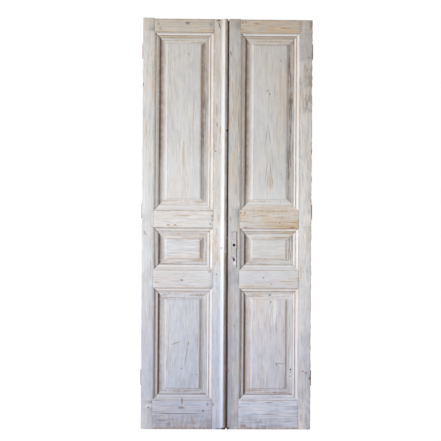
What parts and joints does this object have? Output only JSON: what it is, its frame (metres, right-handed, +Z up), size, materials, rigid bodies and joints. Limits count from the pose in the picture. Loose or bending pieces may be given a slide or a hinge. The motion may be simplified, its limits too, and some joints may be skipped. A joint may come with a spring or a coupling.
{
  "type": "pair of panelled doors",
  "caption": "Pair of old framed wooden door leaves with raised and fielded panels, a moulded cover strip, lift-off hinges, edge bolts and a mortise lock.",
  "frame": {"origin": "foot of the leaves, midway across the pair and through its depth", "axes": "+Z up, +X to the right seen from the front, +Y from the front face to the back"},
  "size_m": [1.032, 0.069, 2.466],
  "materials": {
    "whitewashed_pine": "worn whitewash",
    "bare_pine": "bare end grain",
    "hinge_iron": "rusted, traces of paint",
    "lock_iron": "dark, worn",
    "painted_iron": "painted over, worn"
  },
  "bodies": {
    "jamb_hinges": {"left_top_jamb_hinge_plate": "hinge_iron", "left_middle_jamb_hinge_plate": "hinge_iron", "left_bottom_jamb_hinge_plate": "hinge_iron", "left_hinge_pins": "hinge_iron", "right_top_jamb_hinge_plate": "hinge_iron", "right_middle_jamb_hinge_plate": "hinge_iron", "right_bottom_jamb_hinge_plate": "hinge_iron", "right_hinge_pins": "hinge_iron"},
    "left_leaf": {"left_hinge_stile": "whitewashed_pine", "left_meeting_stile": "whitewashed_pine", "left_top_rail": "whitewashed_pine", "left_frieze_rail": "whitewashed_pine", "left_lock_rail": "whitewashed_pine", "left_bottom_rail": "whitewashed_pine", "left_top_panel": "whitewashed_pine", "left_middle_panel": "whitewashed_pine", "left_bottom_panel": "whitewashed_pine", "left_tenon_wedges": "bare_pine", "left_top_door_hinge_plate": "hinge_iron", "left_middle_door_hinge_plate": "hinge_iron", "left_bottom_door_hinge_plate": "hinge_iron", "left_hinge_screws": "hinge_iron", "cover_strip": "whitewashed_pine", "rear_strip": "whitewashed_pine", "strike_plate": "lock_iron", "strike_screws": "lock_iron", "top_edge_bolt_plate": "lock_iron", "bottom_edge_bolt_plate": "lock_iron", "edge_bolt_screws": "lock_iron"},
    "right_leaf": {"right_hinge_stile": "whitewashed_pine", "right_meeting_stile": "whitewashed_pine", "right_top_rail": "whitewashed_pine", "right_frieze_rail": "whitewashed_pine", "right_lock_rail": "whitewashed_pine", "right_bottom_rail": "whitewashed_pine", "right_top_panel": "whitewashed_pine", "right_middle_panel": "whitewashed_pine", "right_bottom_panel": "whitewashed_pine", "right_tenon_wedges": "bare_pine", "right_top_door_hinge_plate": "hinge_iron", "right_middle_door_hinge_plate": "hinge_iron", "right_bottom_door_hinge_plate": "hinge_iron", "right_hinge_screws": "hinge_iron", "lock_case": "lock_iron", "lock_cover": "lock_iron", "lock_faceplate": "lock_iron", "faceplate_screws": "lock_iron", "latch_spring": "lock_iron", "bolt_spring": "lock_iron", "front_lock_plate": "painted_iron", "back_lock_plate": "painted_iron", "lock_plate_screws": "painted_iron"},
    "latch": {"latch_bolt": "lock_iron"},
    "follower": {"follower": "lock_iron"},
    "dead_bolt": {"dead_bolt": "lock_iron"},
    "top_bolt": {"top_edge_bolt": "lock_iron"},
    "bottom_bolt": {"bottom_edge_bolt": "lock_iron"}
  },
  "joints": [
    {"name": "left_swing", "type": "hinge", "parent": "jamb_hinges", "child": "left_leaf", "pos_m": [-0.51, 0.0285, 1.2], "axis": [0, 0, 1], "range_deg": [0, 110]},
    {"name": "right_swing", "type": "hinge", "parent": "jamb_hinges", "child": "right_leaf", "pos_m": [0.51, 0.0285, 1.2], "axis": [0, 0, -1], "range_deg": [0, 110]},
    {"name": "latch_slide", "type": "slide", "parent": "right_leaf", "child": "latch", "axis": [1, 0, 0], "range_m": [0, 0.01], "stiffness_N_per_m": 400, "springref_m": -0.025, "deforming": ["latch_spring"]},
    {"name": "follower_turn", "type": "hinge", "parent": "right_leaf", "child": "follower", "pos_m": [0.044, 0.0005, 1.106], "axis": [0, 1, 0], "range_deg": [0, 30.1]},
    {"name": "dead_bolt_slide", "type": "slide", "parent": "right_leaf", "child": "dead_bolt", "axis": [-1, 0, 0], "range_m": [0, 0.02]},
    {"name": "top_bolt_slide", "type": "slide", "parent": "left_leaf", "child": "top_bolt", "axis": [0, 0, 1], "range_m": [0, 0.02]},
    {"name": "bottom_bolt_slide", "type": "slide", "parent": "left_leaf", "child": "bottom_bolt", "axis": [0, 0, -1], "range_m": [0, 0.02]}
  ],
  "couplings": [
    {"joint": "follower_turn", "follows": "latch_slide", "rad_per_m": 52.36}
  ]
}
